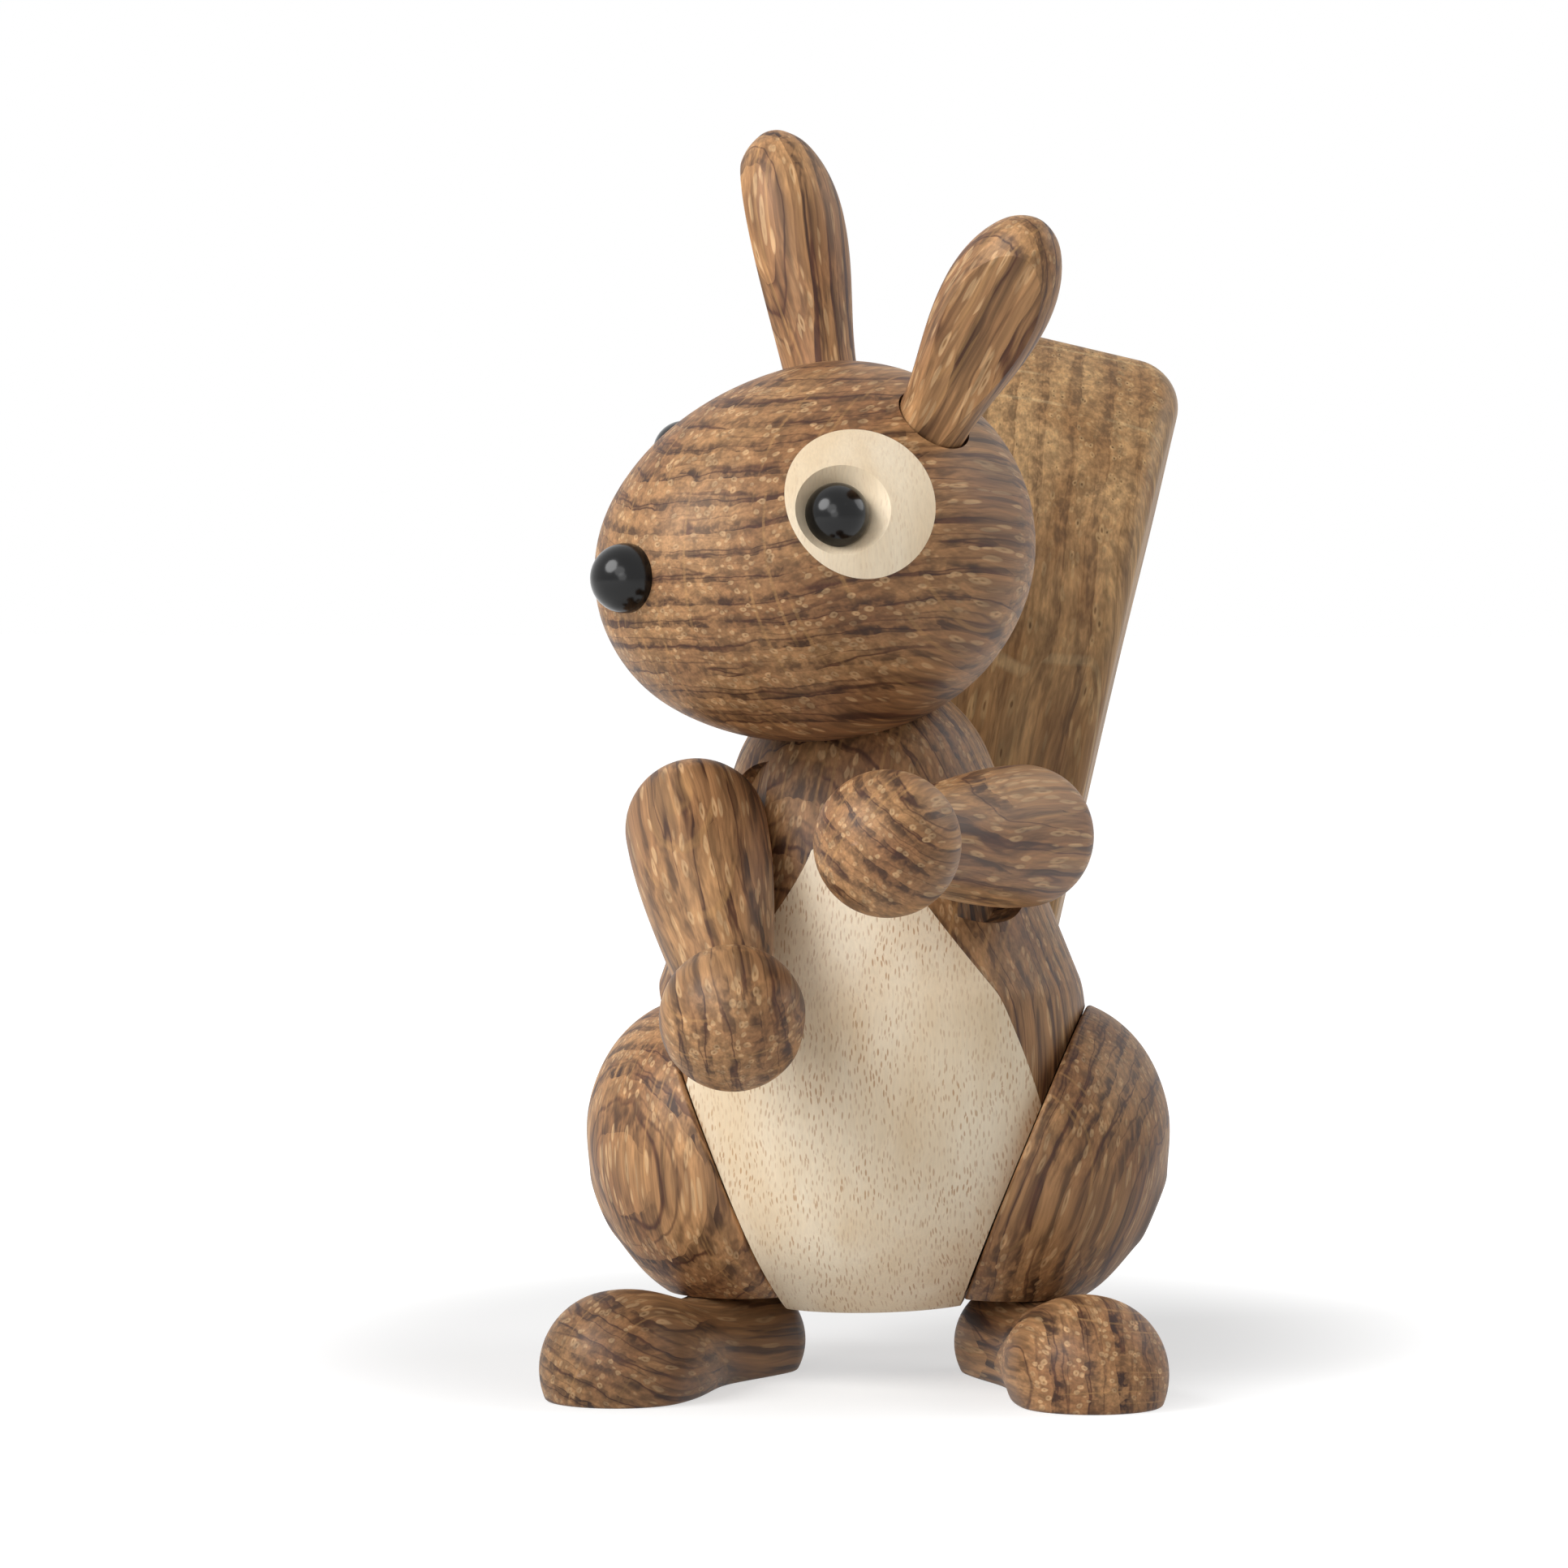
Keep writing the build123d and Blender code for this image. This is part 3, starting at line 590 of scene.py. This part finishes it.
@dataclass
class Head:
    """The egg with its eyes, nose and ears."""

    egg_grain: Grain = Grain((-0.57, -0.8, 0.06), (-5.0, -10.0, 150.0), ring_mm=2.3, tone=0.95)
    ear_grains: dict[Side, Grain] = field(default_factory=lambda: {
        Side.LEFT: Grain((0.44, -0.54, 0.72), (50.0, 60.0, 100.0), seed_mm=31.0),
        Side.RIGHT: Grain((-0.19, 0.2, 0.96), (50.0, 60.0, 100.0), tone=1.1, seed_mm=31.0)})
    eye_grain: Grain = Grain((0.0, 0.0, 1.0), (-60.0, 40.0, 80.0), tone=1.06)
    eye_ticks: float = 0.18

    def build(self) -> None:
        """Dresses the egg, ears, eye rings and beads."""
        dress("head", SMOKED_OAK.material("head", self.egg_grain))
        bead = BLACK_BEAD.material()
        ring = MAPLE.material("eye_ring", self.eye_grain, self.eye_ticks)
        dress("nose_bead", bead)
        for side in Side:
            dress(f"{side.value}_eye_bead", bead)
            dress(f"{side.value}_eye_ring", ring)
            ear = f"{side.value}_ear"
            dress(ear, SMOKED_OAK.material(ear, self.ear_grains[side]))


@dataclass
class Arms:
    """The two turned clubs, grain along each."""

    grains: dict[Side, Grain] = field(default_factory=lambda: {
        Side.LEFT: Grain((-0.36, -0.93, 0.02), (-30.0, -25.0, 5.0), seed_mm=7.0, tone=0.98),
        Side.RIGHT: Grain((0.2, -0.82, -0.53), (-75.0, -20.0, 45.0), seed_mm=13.0, tone=0.9)})

    def build(self) -> None:
        """Dresses both arms."""
        for side in Side:
            arm = f"{side.value}_arm"
            dress(arm, SMOKED_OAK.material(arm, self.grains[side]))


@dataclass
class Legs:
    """The two haunches and the two feet."""

    haunch_grains: dict[Side, Grain] = field(default_factory=lambda: {
        Side.LEFT: Grain((0.35, -0.15, 0.92), (-28.0, -5.0, 50.0), tone=0.82, ring_mm=1.9),
        Side.RIGHT: Grain((-0.12, -0.15, 0.98), (20.0, 32.0, 32.0), tone=1.02)})
    foot_grains: dict[Side, Grain] = field(default_factory=lambda: {
        Side.LEFT: Grain((0.33, -0.94, 0.0), (68.0, 0.0, 5.0), seed_mm=19.0, ring_mm=2.9),
        Side.RIGHT: Grain((-0.45, -0.85, 0.15), (-38.0, -12.0, -36.0), seed_mm=23.0, tone=0.68, ring_mm=1.7)})

    def build(self) -> None:
        """Dresses haunches and feet."""
        for side in Side:
            haunch = f"{side.value}_haunch"
            foot = f"{side.value}_foot"
            dress(haunch, SMOKED_OAK.material(haunch, self.haunch_grains[side]))
            dress(foot, SMOKED_OAK.material(foot, self.foot_grains[side]))


@dataclass
class Tail:
    """The sawn slab behind the body."""

    grain: Grain = Grain((0.12, 0.0, 0.99), (-85.0, 30.0, 60.0), ring_mm=3.2, tone=1.02)

    def build(self) -> None:
        """Dresses the slab."""
        dress("tail", LIGHT_OAK.material("tail", self.grain))


@dataclass
class Fittings:
    """The hidden dowels and rubber rings of the joints, told by how their names end."""

    dowel_ending: str = "_dowel"
    ring_ending: str = "_friction_ring"

    def build(self) -> None:
        """Dresses every dowel and ring."""
        rod = BEECH.material()
        rubber = RUBBER.material()
        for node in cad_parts:
            if node.endswith(self.dowel_ending):
                dress(node, rod)
            elif node.endswith(self.ring_ending):
                dress(node, rubber)


@dataclass(frozen=True)
class Lamp:
    """One softbox: a round lamp that looks at the figure. Its azimuth is in degrees from
    the figure's front toward its left, its distance and size in metres, its power in watts."""

    name: str
    azimuth: float
    elevation: float
    distance: float
    size: float
    power: float

    def build(self, target: Vector) -> None:
        """Makes the lamp.

        Args:
            target: the point that it looks at.
        """
        around, up = math.radians(self.azimuth), math.radians(self.elevation)
        way = Vector((math.sin(around) * math.cos(up), -math.cos(around) * math.cos(up), math.sin(up)))
        data = bpy.data.lights.new(self.name, "AREA")
        data.shape = "DISK"
        data.size = self.size
        data.energy = self.power
        lamp = bpy.data.objects.new(self.name, data)
        lamp.location = target + way * self.distance
        lamp.rotation_euler = way.to_track_quat("Z", "Y").to_euler()
        bpy.context.scene.collection.objects.link(lamp)


def seen_directly(tree: Tree) -> Socket:
    """Tells the camera's, mirrored and transmitted rays from those that light the figure.

    Args:
        tree: the node tree to add to.

    Returns:
        A socket that is 1 for those rays and 0 for the others.
    """
    path = add_node(tree, "ShaderNodeLightPath")
    through = add_node(tree, "ShaderNodeMath", {
        0: path.outputs["Is Camera Ray"], 1: path.outputs["Is Transmission Ray"]}, operation="MAXIMUM")
    return add_node(tree, "ShaderNodeMath", {
        0: through, 1: path.outputs["Is Glossy Ray"]}, operation="MAXIMUM").outputs[0]


@dataclass
class Studio:
    """A white floor, a white surround and softboxes. Near the figure the floor glows less, which paints a soft shade
    round it and lets its shadow show, and farther off it is white to the eye."""

    # metres
    floor_size: float = 6.0
    seen_floor: str = "#AEAEAE"
    lighting_floor: str = "#DEDEDE"
    # painted shade: the floor's lower glow near the figure, grey there even out of its shadow
    shade_patch_glow: float = 0.58
    glow_from_mm: float = 35.0
    glow_to_mm: float = 80.0
    # the dimmer patch, a painted soft shade round the figure, is an ellipse, longer from front to back, with its middle
    # 27 mm
    #     behind the figure's and 8 mm to the figure's right (the shift is in metres)
    glow_squeeze: Triple = (1.0, 0.75, 0.0)
    glow_shift: Triple = (0.008, -0.02, 0.0)
    world_level: float = 0.15
    lamps: tuple[Lamp, ...] = (
        Lamp("key", -50.0, 36.0, 0.7, 0.46, 4.0),
        Lamp("front", -14.0, 24.0, 0.9, 0.5, 1.4),
        Lamp("low", -4.0, 6.0, 0.9, 0.4, 0.7),
        Lamp("rim", 108.0, 30.0, 0.8, 0.5, 1.5))

    def floor(self) -> None:
        """Makes the floor: it keeps the shadow, has a painted soft shade round the figure, and is white to the eye
        beyond it.
        """
        bpy.ops.mesh.primitive_plane_add(size=self.floor_size, location=(0, 0, 0))
        plane = bpy.context.object
        plane.name = "floor"
        material = new_material("white_floor")
        tree = material.node_tree
        seen = seen_directly(tree)
        paint = add_node(tree, "ShaderNodeMix", {
            FACTOR: seen, COLOUR_A: linear(self.lighting_floor), COLOUR_B: linear(self.seen_floor)}, data_type="RGBA")
        matt = add_node(tree, "ShaderNodeBsdfDiffuse", {"Color": paint.outputs[MIXED]})
        place = add_node(tree, "ShaderNodeTexCoord")
        # painted soft shade: the glow is dimmer in a patch round the figure
        round_figure = add_node(tree, "ShaderNodeVectorMath", {
            0: place.outputs["Object"], 1: self.glow_squeeze, 2: self.glow_shift}, operation="MULTIPLY_ADD")
        away = add_node(tree, "ShaderNodeVectorMath", {0: round_figure}, operation="LENGTH").outputs["Value"]
        glow_by = add_node(tree, "ShaderNodeMapRange", {
            "Value": away, "From Min": self.glow_from_mm * MM, "From Max": self.glow_to_mm * MM,
            "To Min": self.shade_patch_glow, "To Max": 1.0}, interpolation_type="SMOOTHSTEP")
        level = add_node(tree, "ShaderNodeMath", {0: seen, 1: glow_by}, operation="MULTIPLY")
        glow = add_node(tree, "ShaderNodeEmission", {"Color": (1, 1, 1, 1), "Strength": level})
        both = add_node(tree, "ShaderNodeAddShader", {0: matt, 1: glow})
        add_node(tree, "ShaderNodeOutputMaterial", {"Surface": both})
        plane.data.materials.append(material)

    def surround(self) -> None:
        """Sets the world: plain fill light, and white to the camera and in reflections."""
        world = bpy.data.worlds.new("white_surround")
        bpy.context.scene.world = world
        world.use_nodes = True
        tree = world.node_tree
        tree.nodes.clear()
        level = add_node(tree, "ShaderNodeMapRange", {
            "Value": seen_directly(tree), "To Min": self.world_level, "To Max": 1.0})
        sky = add_node(tree, "ShaderNodeBackground", {"Color": (1, 1, 1, 1), "Strength": level})
        add_node(tree, "ShaderNodeOutputWorld", {"Surface": sky})

    def build(self, target: Vector) -> None:
        """Makes the floor, the surround and the lamps.

        Args:
            target: the point that the lamps look at.
        """
        bpy.ops.object.select_all(action="DESELECT")
        self.floor()
        self.surround()
        for lamp in self.lamps:
            lamp.build(target)


@dataclass
class Viewpoint:
    """The photograph's camera: a long lens level with the head, a little to the figure's
    left. It stands some metres off a point of the figure's axis, at an azimuth in degrees;
    the lens, the axis's column and the horizon's row are in the photograph's pixels."""

    axis_mm: Triple = (0.63, -1.56, 88.6)
    azimuth: float = 4.5
    distance: float = 0.7
    focal_px: float = 8890.0
    image_px: float = 1932.0
    axis_px: float = 1082.0
    horizon_px: float = 572.0
    sensor_mm: float = 36.0
    clip_start: float = 0.01

    def build(self) -> None:
        """Makes the camera and takes it."""
        around = math.radians(self.azimuth)
        toward = Vector((math.sin(around), -math.cos(around), 0))
        side = Vector((math.cos(around), math.sin(around), 0))
        centre = self.image_px / 2
        yaw = math.atan((self.axis_px - centre) / self.focal_px)
        pitch = math.atan((centre - self.horizon_px) / self.focal_px)
        level = -toward * math.cos(yaw) - side * math.sin(yaw)
        look = level * math.cos(pitch) - Vector((0, 0, math.sin(pitch)))
        data = bpy.data.cameras.new("camera")
        data.lens = self.focal_px / self.image_px * self.sensor_mm
        data.sensor_width = self.sensor_mm
        data.clip_start = self.clip_start
        camera = bpy.data.objects.new("camera", data)
        camera.location = Vector(self.axis_mm) * MM + toward * self.distance
        turn: Quaternion = look.to_track_quat("-Z", "Y")
        camera.rotation_euler = turn.to_euler()
        bpy.context.scene.collection.objects.link(camera)
        bpy.context.scene.camera = camera


def main() -> None:
    """Dresses the squirrel and sets up the studio and the camera."""
    logging.basicConfig(level=logging.INFO)
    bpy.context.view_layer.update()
    for part in (Torso(), Head(), Arms(), Legs(), Tail(), Fittings()):
        part.build()
        LOG.info("%s done", type(part).__name__)
    Studio().build(Vector((0, 0, FIGURE_MIDDLE_MM * MM)))
    Viewpoint().build()
    bpy.context.scene.view_settings.view_transform = "Standard"


if __name__ == "__main__":
    main()
